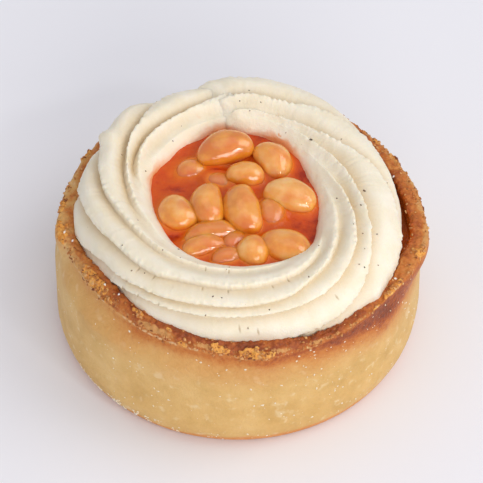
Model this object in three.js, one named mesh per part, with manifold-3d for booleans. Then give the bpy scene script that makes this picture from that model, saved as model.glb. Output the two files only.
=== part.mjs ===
// A small round savoury pie: a hot-water pastry case, a piped ring of mashed potato on its filling,
// and beans in tomato sauce in the hole of the ring. Millimetres and degrees, +Z up.
// The origin is the centre of the base, and -Y is the front. Angles run anticlockwise from +X.
// The rim and the ring of mash do not stand quite over the middle of the base.
import * as THREE from 'three';
import { mergeVertices } from 'three/addons/utils/BufferGeometryUtils.js';
import Module from 'manifold-3d';

const wasm = await Module();
wasm.setup();

// ---- driving dimensions

// pastry case: solid up to the filling, with a rough crimped rim that stands round it
const FILLING_LEVEL = 32;
const RIM_CENTRE = { x: 1, y: 0.2 };
const RIM_RADIUS = 47;
const RIM_WIDTH = 4.5;
const CASE_STEPS = 108;

// [radius, height] of the case's section, from the middle of the base out, up and over the rim
const CASE_SECTION = [
  [0, 0], [45.8, 0], [46.8, 0.5], [47.8, 3], [48.8, 8], [48.6, 15], [48.5, 22], [48.4, 28],
  [47.8, 31.6], [47.1, 33.8], [47, 35.4], [46.2, 36.3], [44.6, 36.3], [43.2, 35.4], [42.6, 33.6],
  [42.5, FILLING_LEVEL], [0, FILLING_LEVEL],
];

// [angle, radius] of the rim's outer edge: it leans in at the left front and hangs over at the right
const RIM_EDGE = [
  [0, 47.9], [20, 46.3], [38, 45.4], [60, 46], [90, 46.5], [130, 46.8], [162, 46.8], [176, 47.4],
  [187, 48.2], [195, 46.2], [212, 45.2], [233, 45.5], [256, 46.4], [268, 47.2], [277, 48], [288, 47],
  [311, 46.8], [324, 46.4], [336, 47.7], [349, 49.1], [360, 47.9],
];

// blistered flakes that stand on the rim: [angle, width in degrees, height]
const FLAKES = [
  [11, 4, 0.6], [150, 3, 0.5], [174, 3, 0.7], [188, 3, 0.8], [215, 3.5, 1.0], [223, 3, 0.9],
  [236, 4, 0.8], [265, 4, 0.9], [275, 4, 0.8], [287, 3, 0.6], [326, 3.5, 1.1], [343, 3.5, 1.0],
];

// piped ring: one flattened rope of mash, laid anticlockwise from the seam until its end lies on its start
const RING_CENTRE = { x: 0, y: 0.2 };
const RING_RADIUS = 32.4;
const ROPE = { halfHeight: 9.4, middle: 38.5, start: 92, end: 457 };
const START_NOSE = 5;
const START_TUCK = 0.08;                  // share by which the start is slimmer where the end lies on it
const SPLICE = { turn: 417, overlap: 11 };   // where one length of the rope is let into the next
const END_NOSE = 4.8;
const END_SLANT = 1.5;                    // degrees that the end runs on outside and stops short inside

// [turn along the ring, radius of the rope's middle, half of its width]
const ROPE_PATH = [
  [90, 33.6, 10.6], [115, 32.7, 9.9], [140, 31.9, 10.1], [162, 32.3, 9.9], [180, 31.8, 10.4],
  [205, 31.0, 10.2], [225, 32.2, 10.3], [245, 33.2, 10.6], [270, 33.4, 10.4], [300, 33.9, 9.8],
  [320, 33.8, 9.7], [335, 32.6, 10.7], [350, 31.3, 11.2], [380, 30.4, 11.4], [400, 31.0, 11.0],
  [420, 32.8, 11.2], [435, 33.6, 11.0], [450, 33.6, 10.6],
];
const ROPE_STEPS = 66;
const RIDGE_SIDES = 3;
const GROOVE_DEPTH = 1.8;
const SEAM_LIFT = 1.5;                    // how far the end of the rope rides up on its start

// ridges that stand out further than the rest: [ridge, turn along the ring, width in degrees, distance]
const PROUD_RIDGES = [[2, 135, 11, 2.4], [2, 151, 4, 1.6]];

// sauce and the gap that every piece keeps to the next
const SAUCE_LEVEL = 41;
const GAP = 0.3;

const PASTRY = new THREE.MeshStandardMaterial({ color: 0xd9aa68, roughness: 0.75, metalness: 0 });
const POTATO = new THREE.MeshStandardMaterial({ color: 0xf1e6c8, roughness: 0.6, metalness: 0 });
const SAUCE = new THREE.MeshStandardMaterial({ color: 0xc4491f, roughness: 0.15, metalness: 0 });
const BEAN = new THREE.MeshStandardMaterial({ color: 0xe89a50, roughness: 0.25, metalness: 0 });

// ---- small helpers

const radians = THREE.MathUtils.degToRad;
const degrees = THREE.MathUtils.radToDeg;
const clamp = THREE.MathUtils.clamp;
const smooth = THREE.MathUtils.smoothstep;

// a sum of sine waves round the pie: each is [height, waves in a turn, phase in degrees]
const waves = (angle, terms) =>
  terms.reduce((sum, [height, count, phase]) => sum + height * Math.sin(radians(count * angle + phase)), 0);

// 1 at the centre of a bump and 0 well away from it, round a full turn
function bump(angle, centre, width) {
  const away = THREE.MathUtils.euclideanModulo(angle - centre + 180, 360) - 180;
  return Math.exp(-((away / width) ** 2));
}

// a repeatable rough value from -1 to 1 for a pair of whole numbers
function rough(i, j) {
  const value = Math.sin(i * 127.1 + j * 311.7) * 43758.5453;
  return 2 * (value - Math.floor(value)) - 1;
}

// a smooth curve through [x, y] points that are in order of x, straight beyond its ends
function through(points, x) {
  const last = points.length - 1;
  let i = points.findIndex(([px]) => px > x) - 1;
  if (i === -2) i = last - 1;
  i = clamp(i, 0, last - 1);
  const slope = (k) => {
    const [a, b] = [points[Math.max(k - 1, 0)], points[Math.min(k + 1, last)]];
    return (b[1] - a[1]) / (b[0] - a[0]);
  };
  const [x0, y0] = points[i];
  const [x1, y1] = points[i + 1];
  if (x < x0) return y0 + slope(i) * (x - x0);
  if (x > x1) return y1 + slope(i + 1) * (x - x1);
  const run = x1 - x0;
  const t = (x - x0) / run;
  const rise = (y1 - y0) * t * t * (3 - 2 * t);
  return y0 + rise + run * (slope(i) * t * (1 - t) ** 2 - slope(i + 1) * t * t * (1 - t));
}

// moves every corner of a geometry and closes it: shared corners merged, flat slivers dropped
function reshape(geometry, place) {
  geometry.deleteAttribute('normal');
  geometry.deleteAttribute('uv');
  const closed = mergeVertices(geometry, 1e-4);
  const corners = closed.getAttribute('position');
  const point = new THREE.Vector3();
  for (let i = 0; i < corners.count; i += 1) {
    point.fromBufferAttribute(corners, i);
    place(point);
    corners.setXYZ(i, point.x, point.y, point.z);
  }
  const kept = [];
  const order = closed.index.array;
  for (let i = 0; i < order.length; i += 3) {
    const [a, b, c] = [order[i], order[i + 1], order[i + 2]];
    if (a !== b && b !== c && c !== a) kept.push(a, b, c);
  }
  closed.setIndex(kept);
  return closed;
}

// geometry to solid and back, for cuts and joins
function solidOf(geometry) {
  return new wasm.Manifold(new wasm.Mesh({
    numProp: 3,
    vertProperties: new Float32Array(geometry.getAttribute('position').array),
    triVerts: new Uint32Array(geometry.index.array),
  }));
}

function geometryOf(solid) {
  const mesh = solid.getMesh();
  const geometry = new THREE.BufferGeometry();
  geometry.setAttribute('position', new THREE.BufferAttribute(mesh.vertProperties, 3));
  geometry.setIndex(new THREE.BufferAttribute(mesh.triVerts, 1));
  return geometry;
}

const pie = new THREE.Group();

function addPiece(name, geometry, material) {
  geometry.computeVertexNormals();
  const piece = new THREE.Mesh(geometry, material);
  piece.name = name;
  pie.add(piece);
}

// ---- the rope's course, which the case, the beans and the sauce keep clear of

const ropeRadius = (turn) => through(ROPE_PATH.map(([at, radius]) => [at, radius]), clamp(turn, 90, 450));
const ropeHalfWidth = (turn) => through(ROPE_PATH.map(([at, , half]) => [at, half]), clamp(turn, 90, 450));
const seamLift = (turn) => SEAM_LIFT * smooth(turn, ROPE.end - 28, ROPE.end - 4);

// an angle as a turn along the rope, from 90 at the back to 450
const turnOf = (x, y) => THREE.MathUtils.euclideanModulo(degrees(Math.atan2(y, x)) - 90, 360) + 90;

// ---- pastry case

// the height of the rim and the girth of the wall wander, as in a crust that was raised by hand
const rimRise = (angle) => waves(angle, [[0.35, 1, 20], [0.3, 3, 70], [0.25, 7, 15], [0.15, 13, 0]]);
const wallSpread = (angle) => waves(angle, [[0.2, 3, 110], [0.15, 7, 0]]);
const waist = (angle, height) => 1.5 * bump(angle, 178, 22) * smooth(height, 21, 29);
const flakeRise = (angle) =>
  FLAKES.reduce((sum, [centre, width, height]) => sum + height * bump(angle, centre, width), 0);

// the rim's inner edge, which gives way where the mash is pressed against it
function rimInside(angle) {
  const lean = (RIM_CENTRE.x - RING_CENTRE.x) * Math.cos(radians(angle));
  const turn = THREE.MathUtils.euclideanModulo(angle - 90, 360) + 90;
  const mash = ropeRadius(turn) + ropeHalfWidth(turn) - lean + 1.5 * GAP;
  return Math.max(through(RIM_EDGE, angle) - RIM_WIDTH, mash);
}

function pastryCase() {
  const outline = CASE_SECTION.map(([radius, height]) => new THREE.Vector2(radius, height));
  const turned = new THREE.LatheGeometry(outline, CASE_STEPS);
  turned.rotateX(Math.PI / 2);
  return reshape(turned, (p) => {
    const radius = Math.hypot(p.x, p.y);
    if (radius < 1) return;
    const angle = THREE.MathUtils.euclideanModulo(degrees(Math.atan2(p.y, p.x)), 360);
    const step = Math.round((angle / 360) * CASE_STEPS) % CASE_STEPS;
    const onRim = smooth(p.z, 28, 34);
    const grain = onRim * 0.2 * rough(step, Math.round(radius * 3));
    const inward = (RIM_RADIUS - radius) / RIM_WIDTH;
    const rimRadius = THREE.MathUtils.lerp(through(RIM_EDGE, angle), rimInside(angle), inward);
    const wallRadius = radius + wallSpread(angle) * smooth(p.z, 1, 8) - waist(angle, p.z);
    const inside = radius < RIM_RADIUS - RIM_WIDTH + 0.2 && p.z > 30;
    const blend = inside ? 1 : onRim;
    const placed = THREE.MathUtils.lerp(wallRadius, rimRadius + grain * (inside ? 0 : 1), blend);
    p.x = blend * RIM_CENTRE.x + placed * Math.cos(radians(angle));
    p.y = blend * RIM_CENTRE.y + placed * Math.sin(radians(angle));
    p.z += smooth(p.z, 32.5, 36) * (rimRise(angle) + grain) + smooth(p.z, 34.8, 36.2) * flakeRise(angle);
  });
}

// ---- piped ring of mash

// The grooves that the star nozzle left between the ridges. Each is a line of points
// [turn along the ring, turn round the section], where 0 is the outer side of the rope, 90 its top
// and 180 its inner side. A groove rises on the outer side and climbs over the top as the rope goes round.
const GROOVES = [
  [[92, 135], [125, 150], [190, 165], [300, 200], [457, 300]],
  [[92, 72], [107, 86], [125, 99], [142, 107], [159, 114], [174, 118], [189, 123], [217, 130], [266, 142],
    [300, 165], [350, 215], [457, 285]],
  [[92, -5], [110, 12], [127, 38], [140, 64], [149, 80], [159, 91], [170, 97], [185, 103], [200, 108],
    [230, 114], [266, 118], [290, 126], [310, 150], [350, 190], [457, 262]],
  [[92, -40], [135, -5], [152, 25], [172, 63], [189, 76], [204, 79], [232, 82], [270, 87], [295, 98],
    [309, 115], [327, 145], [345, 164], [400, 210], [457, 240]],
  [[92, -65], [150, -30], [178, 6], [192, 29], [203, 36], [219, 43], [243, 49], [270, 49], [284, 52],
    [301, 63], [309, 76], [317, 92], [328, 110], [341, 119], [351, 124], [367, 135], [420, 185],
    [457, 205]],
  [[92, -90], [180, -40], [231, 4], [251, 28], [262, 36], [290, 42], [311, 50], [323, 67], [336, 83],
    [349, 101], [365, 114], [382, 127], [418, 152], [457, 165]],
  [[92, -112], [230, -60], [301, 4], [315, 18], [326, 41], [338, 59], [351, 78], [365, 94], [381, 106],
    [401, 119], [457, 137]],
  [[92, -132], [300, -50], [345, 0], [360, 25], [375, 48], [393, 76], [415, 107], [450, 120], [457, 122]],
  [[92, -150], [340, -60], [380, 0], [400, 36], [416, 65], [433, 84], [448, 88], [457, 100]],
  [[92, -168], [380, -60], [425, 0], [445, 30], [457, 42]],
];

// The rope as a round-ended bar, bent round the ring. Its mesh lines follow the grooves, with
// RIDGE_SIDES of them to a ridge. A nose of 0 leaves that end flat, and girth is the share of the
// full section at a turn.
function potatoRope(from, to, noses, girth) {
  const steps = Math.round((ROPE_STEPS * (to - from)) / (ROPE.end - ROPE.start));
  const bar = new THREE.CapsuleGeometry(1, 2, 4, RIDGE_SIDES * GROOVES.length, steps);
  return reshape(bar, (p) => {
    const reach = Math.min(Math.hypot(p.x, p.z), 1);
    const inside = clamp(p.y, -1, 1);
    const nose = degrees((p.y > 0 ? noses[1] : noses[0]) / RING_RADIUS);
    const turn = (from + to) / 2 + inside * ((to - from) / 2) + (p.y - inside) * nose;
    const lines = GROOVES.map((points) => through(points, clamp(turn, ROPE.start, ROPE.end)));
    lines.push(lines[0] - 360);
    const place = THREE.MathUtils.euclideanModulo(Math.atan2(p.x, p.z) / (2 * Math.PI) + 1e-6, 1);
    const ridge = Math.min(Math.floor(place * GROOVES.length), GROOVES.length - 1);
    const share = place * GROOVES.length - ridge;
    const section = THREE.MathUtils.lerp(lines[ridge], lines[ridge + 1], share);
    const wrapped = THREE.MathUtils.euclideanModulo(section + 130, 360) - 130;
    const shown = smooth(wrapped, -50, -15) * (1 - smooth(wrapped, 120, 172));
    const wiped = 1 - 0.85 * smooth(turn, ROPE.end - 9, ROPE.end);
    const crest = Math.sqrt(clamp(4 * share * (1 - share), 0, 1));
    const aboveRim = smooth(wrapped, 0, 25) * (1 - smooth(wrapped, 45, 100));
    const proud = PROUD_RIDGES.filter(([at]) => at === ridge)
      .reduce((sum, [, along, width, out]) => sum + out * bump(turn, along, width), 0);
    const sunk = GROOVE_DEPTH * shown * wiped * (1 - crest) - proud * crest * aboveRim;
    const outward = reach * Math.cos(radians(section));
    const radius = ropeRadius(turn) + (ropeHalfWidth(turn) * girth(turn) - sunk) * outward;
    const middle = ROPE.middle + seamLift(turn);
    const floor = FILLING_LEVEL + GAP + 0.4 * seamLift(turn);
    const height = (ROPE.halfHeight * girth(turn) - sunk) * Math.sin(radians(section));
    const rise = Math.max(height, (floor - middle) * girth(turn));
    const angle = turn + END_SLANT * outward * smooth(turn, ROPE.end - 20, ROPE.end);
    p.x = RING_CENTRE.x + radius * Math.cos(radians(angle));
    p.y = RING_CENTRE.y + radius * Math.sin(radians(angle));
    p.z = middle + reach * rise;
  });
}

// The rope in two lengths, so that its end can lie on its start. The later one begins slim inside the
// first and swells through its side. The outermost shell is kept, so a pocket shut in is mash too.
function potatoRing() {
  const { turn: splice, overlap } = SPLICE;
  const slimStart = (turn) => 1 - START_TUCK * (1 - smooth(turn, 104, 116));
  const swelling = (turn) => 0.96 + 0.044 * smooth(turn, splice - overlap, splice - 2)
    - 0.004 * smooth(turn, splice + 3, splice + overlap);
  const first = solidOf(potatoRope(ROPE.start, splice, [START_NOSE, 0], slimStart));
  const later = solidOf(potatoRope(splice - overlap, ROPE.end, [0, END_NOSE], swelling));
  return first.add(later).decompose().reduce((a, b) => (a.volume() > b.volume() ? a : b));
}

// the smooth ring that the ridges lie in, made larger by a gap, to cut the beans that lean on it
function ringRoom() {
  const ring = new THREE.TorusGeometry(RING_RADIUS, 1, 16, 54);
  return solidOf(reshape(ring, (p) => {
    const turn = turnOf(p.x, p.y);
    const across = Math.hypot(p.x, p.y) - RING_RADIUS;
    const radius = ropeRadius(turn) + across * (ropeHalfWidth(turn) + GAP);
    const lift = Math.max(seamLift(turn), SEAM_LIFT * (1 - smooth(turn, 108, 114)));
    p.x = RING_CENTRE.x + radius * Math.cos(radians(turn));
    p.y = RING_CENTRE.y + radius * Math.sin(radians(turn));
    p.z = ROPE.middle + lift + p.z * (ROPE.halfHeight + GAP);
  }));
}

// ---- beans

// [x, y, z, length, width, thickness, heading, pitch, roll, bend] of each bean's middle, axes and pose
const BEANS = [
  [-3.3, 15.9, 44.4, 14.8, 9.6, 8.2, 17, -6, 0, 0.5],
  [9.2, 13.0, 43.0, 11.4, 8.2, 7.6, -58, 4, 0, 0.5],
  [1.9, 8.6, 43.2, 9.8, 7.0, 6.6, -4, 0, 0, 0.4],
  [-11.9, 11.8, 39.9, 8.6, 6.6, 6.0, 12, 0, 0, 0.3],
  [-5.4, 8.0, 39.8, 8.8, 6.4, 6.0, -30, 0, 0, 0.3],
  [-7.5, -3.2, 43.6, 12.0, 8.4, 7.6, 96, -4, 0, 0.5],
  [1.8, -4.9, 43.4, 14.6, 9.4, 8.2, 106, -2, 0, 0.6],
  [14.0, -0.1, 43.4, 13.8, 9.2, 7.8, -24, 0, 0, 0.5],
  [8.8, -2.7, 40.3, 8.4, 7.6, 6.4, 80, 0, 0, 0.2],
  [-15.5, -5.5, 43.0, 10.8, 9.0, 7.6, 110, 0, 0, 0.4],
  [-7.1, -11.6, 41.6, 12.6, 6.6, 6.4, 14, 0, 0, 0.8],
  [-8.7, -16.1, 41.4, 10.4, 6.8, 6.6, 16, 0, 0, 0.5],
  [4.1, -19.4, 42.4, 8.8, 7.8, 7.0, 100, 0, 0, 0.3],
  [-2.1, -19.4, 40.8, 7.6, 5.6, 5.4, 12, 0, 0, 0.3],
  [11.7, -16.5, 42.4, 13.2, 9.2, 7.8, -22, 0, 0, 0.5],
  [-0.8, -13.5, 39.9, 8.0, 6.2, 5.6, 50, 0, 0, 0.2],
];

function beanSolid([x, y, z, length, width, thickness, heading, pitch, roll, bend], grow, detail) {
  const turn = new THREE.Euler(radians(roll), radians(pitch), radians(heading), 'ZYX');
  const ball = new THREE.IcosahedronGeometry(1, detail);
  return solidOf(reshape(ball, (p) => {
    const along = p.x;
    const taper = 1 - 0.06 * along;
    p.x = along * (length / 2 + grow);
    p.y = p.y * taper * (width / 2 + grow) + bend * (1 - 2 * along * along);
    p.z = p.z * taper * (thickness / 2 + grow);
    p.applyEuler(turn);
    p.add(new THREE.Vector3(x, y, z));
  }));
}

// ---- sauce

// a block that fills the hole up to the level that shows: its side follows the inner side of the rope,
// then stands straight, and its top is a little uneven
function sauceBlock() {
  const base = FILLING_LEVEL + GAP;
  const side = [base, 35, ROPE.middle, SAUCE_LEVEL].map((height) => [1, height]);
  const top = [0.75, 0.5, 0.25, 0].map((share) => [share, SAUCE_LEVEL]);
  const outline = [[0, base], ...side, ...top].map(([share, height]) => new THREE.Vector2(share, height));
  const turned = new THREE.LatheGeometry(outline, 36);
  turned.rotateX(Math.PI / 2);
  return reshape(turned, (p) => {
    const turn = turnOf(p.x, p.y);
    const rise = clamp((p.z - ROPE.middle) / (ROPE.halfHeight + GAP), -1, 0);
    const edge = ropeRadius(turn) - (ropeHalfWidth(turn) + GAP) * Math.sqrt(1 - rise * rise);
    const radius = Math.hypot(p.x, p.y) * edge;
    p.x = RING_CENTRE.x + radius * Math.cos(radians(turn));
    p.y = RING_CENTRE.y + radius * Math.sin(radians(turn));
    p.z += smooth(p.z, SAUCE_LEVEL - 1, SAUCE_LEVEL) * 0.3 * Math.sin(p.x * 0.35 + 1) * Math.cos(p.y * 0.3);
  });
}

// ---- assembly

addPiece('pie_case', pastryCase(), PASTRY);

addPiece('potato_ring', geometryOf(potatoRing()), POTATO);

// each bean keeps clear of the ring and of the beans before it
const taken = [ringRoom()];
BEANS.forEach((bean, i) => {
  const solid = taken.reduce((left, room) => left.subtract(room), beanSolid(bean, 0, 2));
  taken.push(beanSolid(bean, GAP, 2));
  addPiece(`bean_${String(i + 1).padStart(2, '0')}`, geometryOf(solid), BEAN);
});

// the sauce has a hollow for every bean
const hollows = BEANS.map((bean) => beanSolid(bean, 2 * GAP, 1));
const sauce = hollows.reduce((left, hollow) => left.subtract(hollow), solidOf(sauceBlock()));
addPiece('sauce', geometryOf(sauce), SAUCE);

export default pie;
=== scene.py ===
# %% [markdown]
# # A small pie with piped mash and beans in tomato sauce
# The pie is a hand-raised case of hot-water pastry, about 98 mm across. A ring of mashed potato is
# piped on its filling with a star nozzle, and the hole of the ring holds beans in tomato sauce.
# The simple solids of the part come first, as a frame. Each is then replaced by a finer mesh in the
# same place, which is built from nearly the same measures.

# %% Load the frame
import math

import bpy
import numpy as np
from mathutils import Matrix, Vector


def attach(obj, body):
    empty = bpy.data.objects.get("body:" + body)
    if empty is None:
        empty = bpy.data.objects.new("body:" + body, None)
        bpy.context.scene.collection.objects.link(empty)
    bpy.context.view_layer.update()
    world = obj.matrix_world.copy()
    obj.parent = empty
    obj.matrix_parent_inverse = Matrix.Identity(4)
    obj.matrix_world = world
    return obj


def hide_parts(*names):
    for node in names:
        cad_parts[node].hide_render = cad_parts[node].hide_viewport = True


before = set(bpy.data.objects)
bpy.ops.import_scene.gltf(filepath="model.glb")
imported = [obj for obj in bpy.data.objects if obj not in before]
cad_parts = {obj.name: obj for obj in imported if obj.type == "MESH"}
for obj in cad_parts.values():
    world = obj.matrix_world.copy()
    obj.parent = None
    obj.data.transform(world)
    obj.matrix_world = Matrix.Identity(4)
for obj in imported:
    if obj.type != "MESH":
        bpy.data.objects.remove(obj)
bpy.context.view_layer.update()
MM = 0.001

# %% [markdown]
# ## The view
# A picture taken from close by bends a round pie into an egg, so the distance of the camera matters as
# much as its angle. This one stands 700 mm away and looks down at 48.5 degrees. The lens is given as
# a focal length in pixels, and the look is turned a little so that the pie sits low in the picture.
# Turning the camera is used here rather than a lens shift, so other views stay centred.

# %% Camera
PICTURE = 483                    # width and height in pixels
FOCAL = 2629.4                   # focal length in pixels
AIM = Vector((1.0, -1.8, 18.0))  # mm
DOWN = math.radians(48.5)
CAMERA_AWAY = 700                # mm
HIGHER, RIGHTWARD = 24.7, 0.5    # pixels by which the look is turned
forward = Vector((0, math.cos(DOWN), -math.sin(DOWN)))
upward = Vector((0, math.sin(DOWN), math.cos(DOWN)))
look = forward + upward * (HIGHER / FOCAL) + Vector((RIGHTWARD / FOCAL, 0, 0))

camera = bpy.data.objects.new("camera", bpy.data.cameras.new("camera"))
camera.data.sensor_width = 36
camera.data.lens = 36 * FOCAL / PICTURE
camera.location = (AIM - forward * CAMERA_AWAY) * MM
camera.rotation_euler = look.to_track_quat("-Z", "Y").to_euler()
bpy.context.scene.collection.objects.link(camera)
bpy.context.scene.camera = camera
bpy.context.scene.view_settings.view_transform = "Standard"
bpy.context.scene.view_settings.look = "None"
print("lens in mm:", round(camera.data.lens, 1))

# %% [markdown]
# ## Colours and nodes
# Colours are written as sRGB hex, as a paint chart gives them, while the renderer adds up light, so it
# wants linear values. One function turns the first into the second. A second small function adds
# a node to a material with its choices and its sockets filled in, which keeps each material short.
# The size of a pattern is given in millimetres, as it is measured on food, and turned into a scale.

# %% Colours and nodes
def tint(code):
    """a hex colour as linear red, green, blue and 1"""
    parts = [int(code[i:i + 2], 16) / 255 for i in (1, 3, 5)]
    return [p / 12.92 if p <= 0.04045 else ((p + 0.055) / 1.055) ** 2.4 for p in parts] + [1.0]


def node(tree, kind, sockets=None, stops=None, **choices):
    """adds one node: choices are its own settings, sockets its inputs, stops the colours of a ramp"""
    made = tree.nodes.new("ShaderNode" + kind)
    for name, value in choices.items():
        setattr(made, name, value)
    for name, value in (sockets or {}).items():
        if isinstance(value, bpy.types.NodeSocket):
            tree.links.new(value, made.inputs[name])
        else:
            made.inputs[name].default_value = value
    for i, (place, code) in enumerate(stops or []):
        stop = made.color_ramp.elements[i] if i < 2 else made.color_ramp.elements.new(place)
        stop.position, stop.color = place, tint(code)
    return made


def finish_of(name):
    """an empty material with its surface shader"""
    made = bpy.data.materials.new(name)
    made.use_nodes = True
    made.node_tree.nodes.clear()
    surface = node(made.node_tree, "BsdfPrincipled")
    node(made.node_tree, "OutputMaterial", {"Surface": surface.outputs[0]})
    return made, made.node_tree, surface


def fill(tree, surface, **sockets):
    """fills the sockets of a node that is there already; underscores stand for spaces"""
    for name, value in sockets.items():
        socket = surface.inputs[name.replace("_", " ")]
        if isinstance(value, bpy.types.NodeSocket):
            tree.links.new(value, socket)
        else:
            socket.default_value = value


def repeats(size):
    """how often a pattern of a size in mm fits into a metre: the scale of a noise node"""
    return 1000 / size

# %% [markdown]
# ## Floor and light
# The pie stands on a pale board that is lit so evenly that board and background are one. One very
# wide soft light stands to the right and a second in front, low down, whose reflection is the wet sheen
# on the near ends of the beans. A small bright one above it adds sharp glints to them, and a weak one
# over the back keeps the far rim from going dark. The sky is a pale grey and fills the shadows.

# %% Floor
board, tree, surface = finish_of("matt_pale_board")
place = node(tree, "TexCoord").outputs["Object"]
cloud = node(tree, "TexNoise", {"Vector": place, "Scale": repeats(111), "Detail": 2.0})
pale = node(tree, "ValToRGB", {"Fac": cloud.outputs["Fac"]}, [(0.3, "#EEEEF2"), (0.7, "#F1F1F5")])
fill(tree, surface, Base_Color=pale.outputs["Color"], Roughness=0.7, Specular_IOR_Level=0.2)

HALF_BOARD = 4                   # metres, so that its edge is never in the picture
board_corners = [(x * HALF_BOARD, y * HALF_BOARD, 0) for x, y in [(-1, -1), (1, -1), (1, 1), (-1, 1)]]
floor_mesh = bpy.data.meshes.new("floor")
floor_mesh.from_pydata(board_corners, [], [(0, 1, 2, 3)])
floor_mesh.materials.append(board)
floor = bpy.data.objects.new("floor", floor_mesh)
bpy.context.scene.collection.objects.link(floor)

# %% Sky and lights
sky = bpy.data.worlds.new("sky")
sky.use_nodes = True
sky.node_tree.nodes["Background"].inputs["Color"].default_value = tint("#F1F2FA")
sky.node_tree.nodes["Background"].inputs["Strength"].default_value = 0.62
bpy.context.scene.world = sky


def soft_light(name, azimuth, elevation, distance, width, height, watts, code):
    """a soft box that faces the pie; azimuth runs anticlockwise from +X, distances are in metres"""
    lamp = bpy.data.lights.new(name, "AREA")
    lamp.shape = "RECTANGLE"
    lamp.size, lamp.size_y, lamp.energy = width, height, watts
    lamp.color = tint(code)[:3]
    across, rise = math.radians(azimuth), math.radians(elevation)
    level = math.cos(rise)
    place = Vector((math.cos(across) * level, math.sin(across) * level, math.sin(rise)))
    made = bpy.data.objects.new(name, lamp)
    made.location = place * distance
    made.rotation_euler = place.to_track_quat("Z", "Y").to_euler()
    bpy.context.scene.collection.objects.link(made)


LIGHTS = [                       # name, azimuth, elevation, distance, width, height, watts, colour
    ("key", 4, 48, 1.6, 1.0, 1.0, 6.5, "#FFFBF7"),
    ("front", -74, 26, 1.5, 0.9, 0.6, 7.2, "#FFFAF5"),
    ("glint", -50, 42, 1.2, 0.14, 0.09, 1.2, "#FFFFFF"),
    ("top", 100, 78, 1.6, 1.2, 1.2, 1.8, "#FFFFFF"),
]
for light in LIGHTS:
    soft_light(*light)
print("lights:", len(LIGHTS))

# %% [markdown]
# ## Tools for the meshes
# A raised crust and a piped rope are nothing like a turned vase: every ridge and blister is a little
# different. Their main forms come from a few tables of measures with smooth curves through them,
# and noise roughens them. The last number given to a noise is its seed: it makes each use of
# the noise different from the others and the same again in each run. Crust, mash, beans and sauce
# are one kind of mesh: a row of closed rings that are joined in turn, with a fan at each end.

# %% Curves
def smooth(x, low, high):
    """0 below low, 1 above high, and an easy slope between"""
    t = np.clip((x - low) / (high - low), 0, 1)
    return t * t * (3 - 2 * t)


def through(points, x):
    """a smooth curve through [x, y] points, straight beyond its ends"""
    px, py = np.array(points, float).T
    here = np.arange(len(px))
    ahead, behind = np.minimum(here + 1, len(px) - 1), np.maximum(here - 1, 0)
    slope = (py[ahead] - py[behind]) / (px[ahead] - px[behind])
    i = np.clip(np.searchsorted(px, x, side="right") - 1, 0, len(px) - 2)
    run = px[i + 1] - px[i]
    along = (x - px[i]) / run
    t = np.clip(along, 0, 1)
    y = py[i] + (py[i + 1] - py[i]) * t * t * (3 - 2 * t)
    y = y + run * (slope[i] * t * (1 - t) ** 2 - slope[i + 1] * t * t * (1 - t))
    return y + run * (slope[i] * np.minimum(along, 0) + slope[i + 1] * np.maximum(along - 1, 0))


def bump(angle, centre, width):
    """1 at the centre and 0 well away from it, round a full turn"""
    return np.exp(-((((angle - centre + 180) % 360) - 180) / width) ** 2)


def waves(angle, terms):
    """a sum of sine waves round the pie: each is (height, waves in a turn, phase in degrees)"""
    return sum(height * np.sin(np.radians(count * angle + phase)) for height, count, phase in terms)

# %% Noise
def scrambled(cell, seed):
    """a repeatable whole number for each cell of a lattice"""
    key = (cell * np.array([374761393, 668265263, 1274126177])).sum(-1) + seed * 974634777
    key = (key ^ (key >> 13)) * 1103515245
    return key ^ (key >> 16)


def grain(points, size, seed=0):
    """smooth noise from about -1 to 1, with lumps about size mm across"""
    at = np.asarray(points, float) / size
    cell = np.floor(at).astype(np.int64)
    part = at - cell
    ease = part ** 3 * (part * (part * 6 - 15) + 10)
    total = np.zeros(at.shape[:-1])
    for corner in np.ndindex(2, 2, 2):
        key = scrambled(cell + np.array(corner), seed)
        slopes = np.stack([(key >> shift) & 1023 for shift in (0, 10, 20)], -1) / 511.5 - 1
        weight = np.where(corner, ease, 1 - ease).prod(-1)
        total += weight * (slopes * (part - corner)).sum(-1)
    return 1.6 * total


def crumbs(points, size, seed=0):
    """distance to the nearest scattered centre, as a share of size: 0 in a crumb's middle"""
    at = np.asarray(points, float) / size
    cell = np.floor(at).astype(np.int64)
    nearest = np.full(at.shape[:-1], 9.0)
    for step in np.ndindex(3, 3, 3):
        other = cell + np.array(step) - 1
        key = scrambled(other, seed)
        centre = other + np.stack([(key >> shift) & 1023 for shift in (0, 10, 20)], -1) / 1023
        nearest = np.minimum(nearest, np.linalg.norm(at - centre, axis=-1))
    return nearest

# %% Meshes
def skin(rings, first, last):
    """closed rings (rings, corners, 3) joined in turn, with a fan from each end ring to a tip"""
    count, around = rings.shape[:2]
    at = np.arange(count * around).reshape(count, around)
    here, there = at[:-1], at[1:]
    quads = np.stack([here, np.roll(here, -1, 1), np.roll(there, -1, 1), there], -1).reshape(-1, 4)
    tips = np.full(around, count * around)
    fans = np.vstack([np.stack([np.roll(at[0], -1), at[0], tips], -1),
                      np.stack([at[-1], np.roll(at[-1], -1), tips + 1], -1)])
    points = np.vstack([rings.reshape(-1, 3), first, last])
    a, b, c = points[quads[:, 0]], points[quads[:, 1]], points[quads[:, 2]]
    outward = np.einsum("ij,ij->i", a - points.mean(0), np.cross(b - a, c - a)).sum()
    faces = quads.tolist() + fans.tolist()
    return points, faces if outward > 0 else [face[::-1] for face in faces]


def out_of(rings):
    """the direction straight out of each point of a row of closed rings"""
    along = np.gradient(rings, axis=0)
    across = np.roll(rings, -1, 1) - np.roll(rings, 1, 1)
    straight = np.cross(across, along)
    return straight / np.maximum(np.linalg.norm(straight, axis=-1, keepdims=True), 1e-9)

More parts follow.
